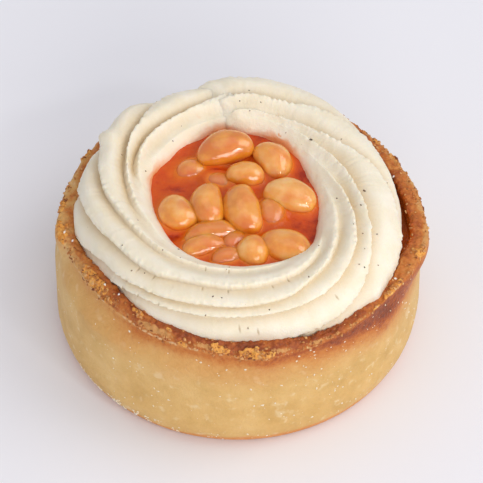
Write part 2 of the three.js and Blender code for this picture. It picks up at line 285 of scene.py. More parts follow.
# %% Pieces of the part
def add_piece(name, points, faces, material, solids=(), marks=None):
    """a mesh of the part, in mm, with numbers marked on its corners for its material to read"""
    mesh = bpy.data.meshes.new(name)
    mesh.from_pydata((np.asarray(points) * MM).tolist(), [], faces)
    for mark, values in (marks or {}).items():
        layer = mesh.attributes.new(mark, "FLOAT", "POINT")
        layer.data.foreach_set("value", np.asarray(values, "f").ravel())
    mesh.shade_smooth()
    mesh.materials.append(material)
    piece = bpy.data.objects.new(name, mesh)
    bpy.context.scene.collection.objects.link(piece)
    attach(piece, "root")
    if solids:
        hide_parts(*solids)
    print(name, "corners:", len(points), "faces:", len(faces))
    return piece

# %% [markdown]
# ## The course of the rope
# Mash squeezed from a bag lies down as one thick rope. Its course is a table of how far the middle of
# the rope is from the centre of the ring and how wide the rope is, at turns that start at the back and
# run anticlockwise. The crust and the sauce need this course too, because they touch the mash.

# %% Course of the rope
RING_CENTRE = np.array([0, 0.2])
ROPE_HALF_HEIGHT, ROPE_MIDDLE = 9.4, 38.5
ROPE_START, ROPE_END = 92, 457   # degrees: the rope overlaps itself by 5
FILLING_LEVEL, SAUCE_LEVEL = 32, 41
GAP = 0.3                        # mm between pieces that only touch
ROPE_PATH = [                    # turn, radius of its middle, half its width
    (90, 33.6, 10.6), (115, 32.7, 9.9), (140, 31.9, 10.1), (162, 32.3, 9.9), (180, 31.8, 10.4),
    (205, 31.0, 10.2), (225, 32.2, 10.3), (245, 33.2, 10.6), (270, 33.4, 10.4), (300, 33.9, 9.8),
    (320, 33.8, 9.7), (335, 32.6, 10.7), (350, 31.3, 11.2), (380, 30.4, 11.4), (400, 31.0, 11.0),
    (420, 32.8, 11.2), (435, 33.6, 11.0), (450, 33.6, 10.6),
]


def path_column(column):
    """one column of the table against the turn"""
    return [(row[0], row[column]) for row in ROPE_PATH]


def rope_radius(turn):
    """mm from the ring's centre to the rope's middle"""
    return through(path_column(1), np.clip(turn, 90, 450))


def rope_half_width(turn):
    """mm from the rope's middle to its side"""
    return through(path_column(2), np.clip(turn, 90, 450))


def seam_lift(turn):
    """mm by which the end of the rope climbs over its start, and then droops"""
    climbs = 0.9 * smooth(turn, ROPE_END - 34, ROPE_END - 12)
    return climbs - 1.0 * smooth(turn, ROPE_END - 7, ROPE_END + 2)


def turn_of(angle):
    """an angle as a turn along the rope, from 90 at the back to 450"""
    return (angle - 90) % 360 + 90

# %% [markdown]
# ## The crust: its form
# The case is raised by hand from hot-water pastry, so its wall wanders. Its rim is trimmed before it
# bakes and blisters into rough flakes. It is turned from one section, as a potter turns a bowl, but every
# angle has its own radius and height. Sculpting would reach the same form, but a table of radii can be
# read, changed and checked against the solid.

# %% Section of the crust
RIM_CENTRE = np.array([1, 0.2])
RIM_RADIUS, RIM_WIDTH = 47, 4.5
INNER_RADIUS = RIM_RADIUS - RIM_WIDTH
PRESS = 0.6                      # mm by which rim and mash overlap where they are pressed together
SECTION_TOP = 36.4               # height of the section at the inner edge of the rim's top
LIP = (47.1, 35.3)               # radius and height of the corner where the wall turns into the rim
CRUST_SECTION = [                # radius, height
    (3, 0), (20, 0), (36, 0), (44.4, 0), (45.7, 0.05), (46.4, 0.35), (46.85, 1.0), (47.3, 1.9),
    (47.8, 3.2), (48.4, 5.5), (48.75, 8), (48.72, 11), (48.6, 15), (48.5, 22), (48.4, 28), (48.1, 30.6),
    (47.7, 32.8), (47.4, 34.4), (47.1, 35.3), (46.7, 35.85), (46.1, 36.15), (45.2, 36.4), (44.2, 36.5),
    (43.4, 36.4), (42.85, 36.0), (42.6, 35.2), (42.52, 34), (42.5, 32.2), (41.9, 32), (30, 32),
    (15, 32), (3, 32),
]

# %% Where the rim and the mash meet
RIM_EDGE = [                     # angle, radius of its outer edge
    (0, 47.9), (20, 46.3), (38, 45.4), (60, 46), (90, 46.5), (130, 46.8), (162, 46.8), (176, 47.4),
    (187, 48.2), (195, 46.2), (212, 45.2), (233, 45.5), (256, 46.4), (268, 47.2), (277, 48), (288, 47),
    (311, 46.8), (324, 46.4), (336, 47.7), (349, 49.1), (360, 47.9),
]
MASH_SPREAD = [                  # angle, how much further out than its round form the mash meets the rim
    (0, 0.5), (10, 0), (24, -0.2), (33, -0.3), (47, 0.3), (60, 0), (150, 0), (170, 0.1), (176, 0.3),
    (184, 0.6), (188, 0.8), (194, 0.75), (200, 0.6), (204, 0.2), (207, -0.15), (212, -0.9), (221, -1.2),
    (231, -1.0), (243, -1.15), (248, -1.1), (252, -0.7), (258, -0.2), (265, 0.1), (273, -0.2),
    (284, 0.2), (294, 1.0), (301, 1.2), (306, 1.4), (310, 1.1), (316, 1.5), (322, 2.2), (326, 1.8),
    (331, 1.5), (337, 1.6), (343, 1.6), (348, 1.5), (354, 0.9), (360, 0.5),
]
RIM_TOP = [                      # angle, height of the inner edge of the rim's top
    (0, 36.3), (60, 36.5), (120, 36.6), (170, 36.4), (184, 36.6), (194, 36.8), (200, 37.2), (207, 38),
    (215, 38.3), (236, 38.4), (248, 38.2), (252, 37.7), (258, 37.2), (265, 37), (284, 36.7),
    (294, 36.3), (306, 36), (316, 35.6), (322, 34.9), (326, 35), (331, 35.4), (340, 36), (348, 36.3),
    (360, 36.3),
]


def mash_outside(angle):
    """radius of the mash about the ring's centre where it meets the rim"""
    turn = turn_of(angle)
    return rope_radius(turn) + rope_half_width(turn) + through(MASH_SPREAD, angle)


def pressed(angle):
    """1 where the mash is pressed against the rim, 0 where it stands free of it"""
    return smooth(angle, 158, 172) * (1 - smooth(angle, 338, 350))


def rim_inside(angle):
    """the rim's inner side, which gives way where the mash is pressed against it"""
    lean = (RIM_CENTRE[0] - RING_CENTRE[0]) * np.cos(np.radians(angle))
    free = np.maximum(through(RIM_EDGE, angle) - RIM_WIDTH, mash_outside(angle) - lean + 1.5 * GAP)
    return free + (mash_outside(angle) - lean - PRESS - free) * pressed(angle)

# %% Points of the section
CRUST_POINTS, CRUST_AROUND = 118, 780   # along the section and round the pie
COARSE, MIDDLING, FINE = 6, 0.7, 0.24   # mm between the points of the section


def spacing(radius, height):
    """mm between points: coarse where the case is flat, fine on the rim"""
    if height == 0 or (height <= FILLING_LEVEL and radius < INNER_RADIUS - 0.2):
        return COARSE
    return MIDDLING if height < FILLING_LEVEL else FINE


corners = np.array(CRUST_SECTION)
reach = np.concatenate([[0], np.cumsum(np.linalg.norm(np.diff(corners, axis=0), axis=1))])
probes = np.arange(0, reach[-1], 0.05)
crowding = 1 / np.interp(probes, reach, [spacing(*corner) for corner in CRUST_SECTION])
dense = np.interp(np.arange(0, 1, 1 / CRUST_POINTS), np.cumsum(crowding) / crowding.sum(), probes)
section_radius = np.interp(dense, reach, corners[:, 0])
section_height = np.interp(dense, reach, corners[:, 1])
lip = reach[CRUST_SECTION.index(LIP)]
across_rim = dense - lip         # mm along the section from the lip, over the rim and down its inner side
print("crust section:", len(dense), "points, rim about", round(float(across_rim[-1]), 1), "mm")

# %% Placing the crust
angle = np.linspace(0, 360, CRUST_AROUND, endpoint=False)[None, :]
radius, height = section_radius[:, None], section_height[:, None]
on_rim = smooth(height, 28, 34)
inside = (radius < INNER_RADIUS + 0.2) & (height > 30)
edge, inner = through(RIM_EDGE, angle[0])[None, :], rim_inside(angle[0])[None, :]
rim = edge + (inner - edge) * (RIM_RADIUS - radius) / RIM_WIDTH
rim = np.where(radius < INNER_RADIUS, inner * radius / INNER_RADIUS, rim)
wall = radius + waves(angle, [(0.2, 3, 110), (0.15, 7, 0)]) * smooth(height, 1, 8)
wall = wall - 1.5 * bump(angle, 178, 22) * smooth(height, 21, 29)
blend = np.where(inside, 1, on_rim)
placed = wall + (rim - wall) * blend
rise = waves(angle, [(0.35, 1, 20), (0.3, 3, 70), (0.25, 7, 15), (0.15, 13, 0)])
rings = np.stack([
    blend * RIM_CENTRE[0] + placed * np.cos(np.radians(angle)),
    blend * RIM_CENTRE[1] + placed * np.sin(np.radians(angle)),
    height + smooth(height, 32.5, 36) * rise + 0 * angle,
], -1)
lift = through(RIM_TOP, angle[0])[None, :] - SECTION_TOP
on_slope = smooth(across_rim, -1.2, 2.6)[:, None] * (height > 34)
down_inside = smooth(height, 32.3, 34) * (across_rim > 3)[:, None]
rings[..., 2] += lift * np.where(height > 34, on_slope, down_inside)
print("crust rings:", rings.shape)

# %% [markdown]
# ## The crust: its rim
# Trimmed dough bakes into a rough edge with loose flakes on it. The roughness is built as an oven builds
# it: broad lumps first, blisters on them, fine grit last. Flakes are raised patches with crisp, ragged
# outlines. Displacing the real mesh is used here, not a bump in the material, because
# the rough edge shows against the pale floor.

# %% Flakes on the rim
FLAKES = [                       # angle, half length mm, mm in from the lip, half width, height
    (212.5, 6.2, 1.3, 1.5, 0.6), (222, 1.4, 0.4, 0.7, 0.4), (234, 2.0, 2.5, 1.0, 0.45),
    (246, 1.6, 2.1, 0.8, 0.35), (252, 1.9, 0.1, 0.6, 0.35), (263, 2.6, 1.3, 1.2, 0.5),
    (275, 4.8, 0.3, 1.9, 0.75), (327, 4.6, 0.8, 1.6, 0.8), (317, 1.6, 0.4, 0.5, 0.35),
    (344.5, 1.8, 0.6, 2.3, 0.6), (187, 3.6, 0.7, 2.3, 0.7), (176, 2.2, 0.4, 1.9, 0.6),
    (152, 2.6, 0.4, 1.2, 0.45), (27, 2.2, 0.4, 1.0, 0.4), (36, 1.6, 0.9, 1.1, 0.4),
    (60, 2.8, 0.4, 1.1, 0.4), (98, 3.4, 0.3, 1.2, 0.45), (126, 2.4, 0.5, 1.0, 0.4),
]
flake = np.zeros(rings.shape[:2])
flake_rise = np.zeros(rings.shape[:2])
ragged = 0.42 * grain(rings, 1.9, 3) + 0.34 * grain(rings, 0.85, 4)
for at, half_length, across, half_width, thick in FLAKES:
    far = np.hypot((((angle - at + 180) % 360) - 180) * 0.8 / half_length,
                   (across_rim[:, None] - across) / half_width) + ragged
    shape = 1 - smooth(far, 0.78, 1.0)
    flake = np.maximum(flake, shape)
    flake_rise = np.maximum(flake_rise, shape * thick * (0.75 + 0.5 * grain(rings, 1.1, 5)))
print("flakes:", len(FLAKES))

# %% Blisters and grit on the rim
on_top = smooth(across_rim, -0.9, 0.3)[:, None] * (1 - smooth(across_rim, 5.6, 7))[:, None]
blister = np.maximum(0, 0.5 - crumbs(rings, 1.5, 6)) * 0.9
broken_lip = np.exp(-((across_rim + 0.2) / 0.34) ** 2)[:, None] * smooth(grain(rings, 2.2, 7), -0.3, 0.1)
broken_lip = broken_lip * (0.25 + 0.75 * bump(angle, 235, 45)) * smooth(grain(rings, 0.7, 12), -0.5, 0.2)
rough = 0.3 * grain(rings, 2.6, 1) + 0.24 * grain(rings, 1.1, 2) + 0.16 * grain(rings, 0.55, 8) + blister
pale_wall = 0.22 * grain(rings, 13, 9) + 0.05 * grain(rings, 3.2, 10)
hidden = smooth(across_rim, 5.6, 7)[:, None]
foot = smooth(height, 0.4, 2.5) * (1 - hidden)
push = on_top * (rough + 0.75 * flake_rise) + 0.3 * broken_lip + pale_wall * foot * (1 - on_top)
crust_rings = rings + out_of(rings) * push[..., None]
crust_rings[..., 2] += 0.5 * on_top * flake_rise
crust_rings[..., 2] = np.maximum(crust_rings[..., 2], 0)
print("rim rises to", round(float(crust_rings[..., 2].max()), 2), "mm")

# %% [markdown]
# ## The crust: where it is baked
# Pastry browns where it is thin and hot, so the rim is reddish brown, the wall stays pale gold, and
# a haze of brown runs down from the rim. The foot, which fries on the tin, has an orange line. Painting
# by hand would do, but here marks on the corners of the mesh say how baked each place is. They are
# worked out from the height and the way round, so they follow the mesh when it changes.

# %% How brown the crust is
side = angle + 0 * height
BROWN_DOWN_TO = [                # angle, height down to which the outer side is brown
    (0, 33.2), (60, 34), (150, 34.6), (180, 35.2), (256, 35), (285, 34.9), (304, 34.4), (311, 33.6),
    (318, 32.2), (326, 31), (336, 31.4), (346, 32.4), (360, 33.2),
]
brown_from = through(BROWN_DOWN_TO, angle[0])[None, :] + 0.5 * grain(rings, 3, 13)
above_line = height - brown_from
top_brown = np.maximum(smooth(above_line, -0.7, 0.5), across_rim[:, None] > 0)
strong = 0.3 + 0.76 * bump(side, 304, 42) + 0.16 * bump(side, 334, 26)
strong = strong + 0.25 * bump(side, 238, 26) + 0.2 * bump(side, 90, 60)
haze = strong * (0.42 * smooth(above_line, -15, -0.5) + 0.3 * smooth(above_line, -4.5, -0.3))
haze = haze + 0.1 * grain(rings, 9, 11) * smooth(height, 18, 28)
inner_wall = smooth(across_rim, 3.4, 5.2)[:, None] * (1 - pressed(angle))
golden = 0.62 * bump(side, 176, 42) + 0.3 * bump(side, 15, 45)
golden = golden + 0.2 * bump(side, 90, 50) + 0.3 * bump(side, 332, 16)
from_lip = smooth(across_rim, -0.5, 3.0)[:, None]
browned = 0.58 + 0.2 * from_lip - golden * (1 - 0.25 * from_lip)
browned = browned + 0.16 * grain(rings, 3, 14) + 0.1 * grain(rings, 1.2, 18)
haze = haze * (1 - 0.3 * smooth(across_rim, -1.5, 0.3)[:, None])
baked = np.clip(np.maximum(haze, (browned + 0.2 * inner_wall) * top_brown), 0, 1)
print("share of the crust that is brown:", round(float((baked > 0.3).mean()), 2))

# %% Marks for the crust
orange_foot = (1 - smooth(height, 1.6, 4.2 + 1.2 * grain(rings, 5, 15))) * smooth(radius, 40, 46)
orange_foot = orange_foot * (0.65 + 0.35 * bump(side, 290, 60))
fat = inner_wall * (bump(side, 349, 10) + 0.3 * bump(side, 8, 8)) * smooth(grain(rings, 5, 16), -0.9, -0.3)
gritty_zone = np.exp(-((across_rim - 0.9) / 1.3) ** 2)[:, None]
gritty_zone = gritty_zone * (0.5 + 0.5 * grain(rings, 6, 17)) * on_top
crust_marks = {
    "baked": np.append(baked, [0, 1]),
    "flake": np.append(flake * on_top, [0, 0]),
    "lip": np.append(broken_lip * (1 - 0.8 * flake), [0, 0]),
    "foot": np.append(orange_foot, [0, 0]),
    "fat": np.append(fat, [0, 0]),
    "crumbly": np.append(gritty_zone, [0, 0]),
}

# %% [markdown]
# ## The crust: its finish
# Hot-water pastry is flour, lard and water, pressed by hand and baked. That gives the eye a matt, even
# wall with pale pockets of fat and a duller sheen where fat came through the brown rim. The marks
# choose between a pale and a brown set of colours, and noise of the size of fat pockets breaks them up.
# Real flour grit is about 0.3 mm and wouldn't show, so it is drawn at about 1.1 mm.

# %% Hot-water pastry: the pale wall
pastry, tree, surface = finish_of("baked_hot_water_pastry")
place = node(tree, "TexCoord").outputs["Object"]
marks = {name: node(tree, "Attribute", attribute_name=name).outputs["Fac"] for name in crust_marks}
mottle = node(tree, "TexNoise", {"Vector": place, "Scale": repeats(10.53), "Detail": 5.0,
                                 "Roughness": 0.62})
speckle = node(tree, "TexNoise", {"Vector": place, "Scale": repeats(1.111), "Detail": 3.0,
                                  "Roughness": 0.7})
wall_tone = node(tree, "ValToRGB", {"Fac": mottle.outputs["Fac"]},
                 [(0.28, "#CDA25C"), (0.72, "#E8C281"), (0.5, "#DDB36E")])
pockets = node(tree, "TexNoise", {"Vector": place, "Scale": repeats(3.03), "Detail": 2.0})
fat_spots = node(tree, "MapRange", {"Value": pockets.outputs["Fac"], "From Min": 0.6, "From Max": 0.72,
                                    "To Max": 0.45})
wall_tone = node(tree, "MixRGB", {"Fac": fat_spots.outputs[0], "Color1": wall_tone.outputs["Color"],
                                  "Color2": tint("#F2DCAE")})

# %% Hot-water pastry: the browning
uneven = node(tree, "MapRange", {"Value": mottle.outputs["Fac"], "From Min": 0.3, "From Max": 0.7,
                                 "To Min": -0.09, "To Max": 0.09})
gritty = node(tree, "MapRange", {"Value": speckle.outputs["Fac"], "From Min": 0.3, "From Max": 0.7,
                                 "To Min": -0.14, "To Max": 0.14})
heat = node(tree, "Math", {0: marks["baked"], 1: uneven.outputs[0]}, operation="ADD")
heat = node(tree, "Math", {0: heat.outputs[0], 1: gritty.outputs[0]}, operation="ADD")
brown = node(tree, "ValToRGB", {"Fac": heat.outputs[0]},
             [(0.0, "#E0A464"), (1.0, "#6E2E0E"), (0.25, "#D48E48"), (0.5, "#C4722E"), (0.72, "#A24E1C")])
how_brown = node(tree, "MapRange", {"Value": marks["baked"], "From Min": 0.02, "From Max": 0.4})
colour = node(tree, "MixRGB", {"Fac": how_brown.outputs[0], "Color1": wall_tone.outputs[0],
                               "Color2": brown.outputs["Color"]})
foot_edge = node(tree, "MapRange", {"Value": marks["foot"], "From Min": 0.1, "From Max": 0.6,
                                    "To Max": 0.75})
colour = node(tree, "MixRGB", {"Fac": foot_edge.outputs[0], "Color1": colour.outputs[0],
                               "Color2": tint("#DE8C46")})

# %% Hot-water pastry: crumbs, flakes, lip and fat
crumb_edge = node(tree, "Math", {0: speckle.outputs["Fac"], 1: marks["crumbly"]}, operation="ADD")
crumb_edge = node(tree, "MapRange", {"Value": crumb_edge.outputs[0], "From Min": 0.95, "From Max": 1.1})
colour = node(tree, "MixRGB", {"Fac": crumb_edge.outputs[0], "Color1": colour.outputs[0],
                               "Color2": tint("#D09656")})
flake_tone = node(tree, "ValToRGB", {"Fac": speckle.outputs["Fac"]},
                  [(0.3, "#BE702C"), (0.66, "#F2B860"), (0.46, "#E2963E")])
chipped = node(tree, "MapRange", {"Value": speckle.outputs["Fac"], "From Min": 0.3, "From Max": 0.7,
                                  "To Min": -0.36, "To Max": 0.3})
chipped = node(tree, "Math", {0: marks["flake"], 1: chipped.outputs[0]}, operation="ADD")
flake_edge = node(tree, "MapRange", {"Value": chipped.outputs[0], "From Min": 0.42, "From Max": 0.6})
colour = node(tree, "MixRGB", {"Fac": flake_edge.outputs[0], "Color1": colour.outputs[0],
                               "Color2": flake_tone.outputs["Color"]})
lip_edge = node(tree, "MapRange", {"Value": marks["lip"], "From Min": 0.3, "From Max": 0.7, "To Max": 0.85})
colour = node(tree, "MixRGB", {"Fac": lip_edge.outputs[0], "Color1": colour.outputs[0],
                               "Color2": tint("#E6BE8E")})
colour = node(tree, "MixRGB", {"Fac": marks["fat"], "Color1": colour.outputs[0],
                               "Color2": tint("#D8640E")})

# %% Hot-water pastry: relief and sheen
relief = node(tree, "Bump", {"Height": speckle.outputs["Fac"], "Strength": 0.7, "Distance": 0.6 * MM})
dull = node(tree, "MapRange", {"Value": heat.outputs[0], "From Min": 0.2, "From Max": 0.9,
                               "To Min": 0.6, "To Max": 0.3})
dull = node(tree, "Math", {0: dull.outputs[0], 1: marks["fat"]}, operation="SUBTRACT", use_clamp=True)
fill(tree, surface, Base_Color=colour.outputs[0], Roughness=dull.outputs[0], Normal=relief.outputs[0],
     Subsurface_Weight=0.12, Subsurface_Radius=(1.0, 0.6, 0.3), Subsurface_Scale=1.2 * MM,
     Specular_IOR_Level=0.36)

points, faces = skin(crust_rings, (0, 0, 0), (0, 0, FILLING_LEVEL))
add_piece("crust", points, faces, pastry, ["pie_case"], crust_marks)

# %% [markdown]
# ## The mash: its form
# A star nozzle leaves ridges that run along the rope and climb over it, because the bag is turned as
# the rope is laid. The lines between the ridges are tables of turns along the ring against turns
# round the rope. Each ridge is shaped like a saw tooth, as mash that is pulled outward: it rises gently
# from the groove on its inner side and drops steeply into the groove on its outer side.
# Sculpting would do as well, but lines in a table can be read and changed.

# %% Lines of the nozzle
GROOVES = [                      # turn along the ring, turn round the rope, in degrees
    [(92, 128), (119, 131), (134, 131), (149, 136), (159, 146), (190, 165), (300, 200), (457, 300)],
    [(92, 80), (108, 95), (114, 100), (129, 102), (140, 102), (148, 106), (157, 114), (166, 124),
     (175, 134), (189, 146), (215, 157), (245, 170), (300, 188), (457, 292)],
    [(92, -5), (110, 22), (123, 46), (136, 68), (146, 79), (154, 90), (163, 101), (173, 109),
     (183, 114), (198, 119), (213, 127), (230, 134), (266, 142), (300, 165), (350, 215), (457, 285)],
    [(92, -40), (135, -5), (150, 28), (158, 43), (168, 58), (174, 65), (181, 72), (190, 80), (199, 87),
     (211, 96), (225, 106), (245, 114), (266, 118), (290, 126), (310, 150), (350, 190), (457, 262)],
    [(92, -65), (150, -30), (172, 10), (184, 29), (191, 35), (199, 43), (209, 54), (220, 61), (234, 67),
     (244, 76), (256, 80), (270, 80), (284, 84), (293, 89), (299, 94), (305, 101), (312, 113),
     (327, 140), (345, 162), (400, 210), (457, 240)],
    [(92, -90), (180, -40), (195, -8), (205, 8), (215, 20), (225, 30), (235, 38), (246, 44), (256, 48),
     (270, 49), (282, 52), (290, 56), (297, 65), (304, 74), (311, 83), (318, 95), (328, 107),
     (338, 116), (350, 124), (363, 134), (378, 144), (393, 156), (420, 185), (457, 205)],
    [(92, -112), (200, -50), (215, -10), (226, 13), (232, 21), (239, 27), (247, 29), (256, 32),
     (270, 34), (290, 36), (300, 40), (307, 46), (314, 54), (321, 64), (328, 74), (335, 84), (344, 94),
     (355, 106), (367, 117), (382, 127), (400, 136), (418, 146), (457, 160)],
    [(92, -132), (230, -75), (300, -8), (307, 0), (313, 8), (320, 22), (325, 37), (332, 53), (341, 67),
     (350, 80), (365, 94), (381, 104), (401, 118), (457, 140)],
    [(92, -150), (300, -52), (335, -22), (347, 0), (360, 28), (375, 58), (383, 75), (394, 92),
     (407, 105), (420, 115), (432, 120), (443, 121), (457, 124)],
    [(92, -168), (340, -60), (380, 0), (400, 45), (412, 69), (420, 83), (427, 91), (436, 95), (444, 94),
     (457, 98)],
    [(92, -185), (380, -60), (425, 0), (445, 30), (457, 42)],
]
GROOVE_DEPTH = 2.2               # mm
PROUD_RIDGES = [(2, 135, 11, 2.4), (2, 151, 4, 1.6)]   # ridge, turn, width in degrees, mm it stands out
CREST = 0.89                     # where a ridge is highest, as a share of its width
WIDEST_VALLEY = 26               # degrees round the rope
SHARES = [0, 0.06, 0.15, 0.27, 0.4, 0.53, 0.65, 0.75, 0.83, 0.88, 0.92, 0.955, 0.98]

# %% [markdown]
# ## The mash: laying the rope
# Piping lays one rope round until its end meets its start. The mesh does the same: one closed ring
# stands at each turn, its corners follow the lines of the nozzle, and both ends are rounded off. A curve
# with a bevel would be quicker, but it has one section all along, and here every ridge changes.

# %% Laying the rope
ROPE_RINGS = 660
START_NOSE, END_NOSE = np.degrees(5 / 32.4), np.degrees(4.8 / 32.4)   # 5 and 4.8 mm of the ring
nose = np.radians(np.linspace(6, 82, 10))
body = np.linspace(ROPE_START, ROPE_END, ROPE_RINGS)
turn = np.concatenate([ROPE_START - START_NOSE * np.cos(nose), body,
                       ROPE_END + END_NOSE * np.cos(nose[::-1])])
fullness = np.concatenate([np.sin(nose), np.ones(len(body)), np.sin(nose[::-1])])[:, None]
held = np.clip(turn, ROPE_START, ROPE_END)
lines = np.array([through(points, held) for points in GROOVES])
run = turn * 0.56                # mm along the rope
for i in range(len(GROOVES)):
    at = np.stack([run, np.full_like(run, 40.0 * i), 0 * run], -1)
    lines[i] += 0.45 * grain(at, 2.3, 20) + 1.1 * grain(at, 0.8, 21) + 0.7 * grain(at, 9, 22)
lines = np.vstack([lines, lines[:1] - 360])
share = np.tile(SHARES, len(GROOVES))[None, :]
ridge = np.repeat(np.arange(len(GROOVES)), len(SHARES))
section = lines[ridge].T * (1 - share) + lines[ridge + 1].T * share
wrapped = (section + 130) % 360 - 130
turn = turn[:, None]

# %% Ridges and valleys
wide = np.abs(lines[ridge] - lines[ridge + 1]).T
climb = np.clip(share * wide / np.minimum(CREST * wide, WIDEST_VALLEY), 0, 1)
gentle = 0.35 * climb + 0.65 * climb ** 2 * (3 - 2 * climb)
steep = np.sqrt(1 - np.clip((share - CREST) / (1 - CREST), 0, 1) ** 2)
crest = np.where(share < CREST, gentle, steep)
shown = smooth(wrapped, -50, -15) * (1 - smooth(wrapped, 100 + 18 * bump(turn, 160, 50), 138))
wiped = 1 - 0.6 * smooth(turn, ROPE_END - 4, ROPE_END)
above_rim = smooth(wrapped, 0, 25) * (1 - smooth(wrapped, 45, 100))
proud = sum(out * bump(turn, along, width) * (ridge == which) for which, along, width, out in PROUD_RIDGES)
strength = 0.66 + 0.55 * bump(turn, 145, 52) + 0.24 * bump(turn, 350, 44)
depth = GROOVE_DEPTH * strength * shown * wiped * (1 - crest)
sunk = depth - proud * crest * above_rim
print("deepest groove:", round(float(sunk.max()), 2), "mm")

# %% The rope in its place
girth = 1 - 0.08 * (1 - smooth(turn, 104, 116))
around_pie = turn % 360
held_out = np.cos(np.radians(section))
against = pressed(around_pie) * smooth(wrapped, -62, -30) * (wrapped < 0)
held_out = held_out + (1 - held_out) * against
outward = fullness * held_out
rope = rope_radius(turn) + (rope_half_width(turn) * girth - sunk) * outward
middle = ROPE_MIDDLE + seam_lift(turn)
floor_level = FILLING_LEVEL + GAP + 0.4 * seam_lift(turn)
up = (ROPE_HALF_HEIGHT * girth - sunk) * np.sin(np.radians(section))
up = np.maximum(up, (floor_level - middle) * girth)
top_of_press = 43.5 + 2.5 * smooth(-through(MASH_SPREAD, around_pie), 0, 0.6)
spread = through(MASH_SPREAD, around_pie) * (1 - smooth(middle + up, 37.8, top_of_press))
spread = spread * smooth(middle + up, 32.4, 34.2) * smooth(outward, 0.0, 0.5)
spread = spread * smooth(turn, 100, 110) * (1 - smooth(turn, 440, 450))
rope = rope + spread
ragged_end = grain(np.stack([section / 22, 0 * section, 0 * section + turn / 400], -1), 1.0, 31)
spin = turn + (4.0 * outward + 3.6 * ragged_end) * smooth(turn, ROPE_END - 16, ROPE_END + 4)
spin = np.radians(spin)
mash_rings = np.stack([RING_CENTRE[0] + rope * np.cos(spin), RING_CENTRE[1] + rope * np.sin(spin),
                       middle + fullness * up], -1)
print("mash rings:", mash_rings.shape)

# %% [markdown]
# ## The mash: its roughness
# Mash is stiff, so it tears where a ridge is thin, and short cracks open across the bends. The torn
# edges are noise that acts only near the crests, and each crack is a short cut across one ridge, in
# the places where the photograph shows one.

# %% Roughness of the mash
free = smooth(mash_rings[..., 2], 33.5, 35.5)
edge_share = np.exp(-((share - 0.9) / 0.09) ** 2) * shown * wiped
coarse = 1 + 0.9 * bump(turn, 452, 22) + 0.7 * bump(turn, 400, 45)
lumps = 0.13 * grain(mash_rings, 6, 23) + 0.07 * grain(mash_rings, 2.2, 24) * coarse
lumps = lumps + 0.05 * grain(mash_rings, 0.8, 25)
lumps = lumps + 0.5 * smooth(turn, ROPE_END - 9, ROPE_END) * grain(mash_rings, 3.2, 30)
torn = edge_share * (0.3 * grain(mash_rings, 1.2, 26) * coarse + 0.24 * grain(mash_rings, 0.6, 27))
mash_rings = mash_rings + out_of(mash_rings) * (free * (lumps + torn))[..., None]

TICKS = [                        # x and y of short cracks across the ridges, mm
    (-33.8, -22.6), (-29.3, -29.6), (-25.1, -33.4), (-19.5, -36.8), (-7.8, -27.7), (-2.0, -28.6),
    (-8.7, -34.3), (-2.2, -35.6), (-11.7, -39.7), (-24.9, -27.2), (-20.8, -30.1), (0.7, -43.1),
    (5.3, -42.8), (25.3, -34.0), (9.0, -34.1), (12.8, -31.8),
]
# crack also says where the colour is darkened, as painted shade in the cracks
crack = np.zeros(mash_rings.shape[:2])
for x, y in TICKS:
    row = np.abs(turn[:, 0] - turn_of(np.degrees(np.arctan2(y - RING_CENTRE[1], x)))).argmin()
    line = mash_rings[row]
    away = np.abs(np.hypot(line[:, 0], line[:, 1] - RING_CENTRE[1]) - np.hypot(x, y - RING_CENTRE[1]))
    start = line[(away + 9 * (line[:, 2] < 36) - 0.05 * line[:, 2]).argmin()]
    cut = 1 - smooth(np.linalg.norm(line - start, axis=1), 0.35, 0.8)
    crack[row] = np.maximum(crack[row], cut)
    mash_rings[row, :, 2] -= 0.18 * cut
print("cracks:", len(TICKS), "highest mash:", round(float(mash_rings[..., 2].max()), 2), "mm")

# %% [markdown]
# ## The mash: its finish
# Mashed potato is wet starch: matt, creamy and slightly see-through, so light soaks in and comes out
# soft at the thin edges. Marks say where the sauce has soaked in, at the hole's edge, and paint shade
# into the grooves, darker where they are deep, and into the cracks. A relief about 0.4 mm across stands for
# the grain of the potato.

# %% Marks for the mash
spot = np.degrees(np.arctan2(mash_rings[..., 1] - RING_CENTRE[1], mash_rings[..., 0])) % 360
inner_side = smooth(wrapped, 95, 150)
soaked = (1 - smooth(mash_rings[..., 2], 42.7, 43.3 + 0.5 * grain(mash_rings, 2, 28))) * inner_side
reach_up = bump(spot, 160, 14) * 0.6 + bump(spot, 58, 16) * 0.9 + bump(spot, 100, 12) * 0.7
splash_top = 44.3 + 1.2 * grain(mash_rings, 2, 29)
splash = reach_up * (1 - smooth(mash_rings[..., 2], 43.4, splash_top)) * inner_side
mash_marks = {
    # painted shade: the deeper the groove, the darker its colour
    "groove": np.append(np.clip(depth / GROOVE_DEPTH, 0, 1) ** 1.3, [0, 0]),
    "soaked": np.append(np.clip(soaked * 0.4 + splash, 0, 1), [0, 0]),
    # painted shade in the cracks
    "crack": np.append(crack, [0, 0]),
}

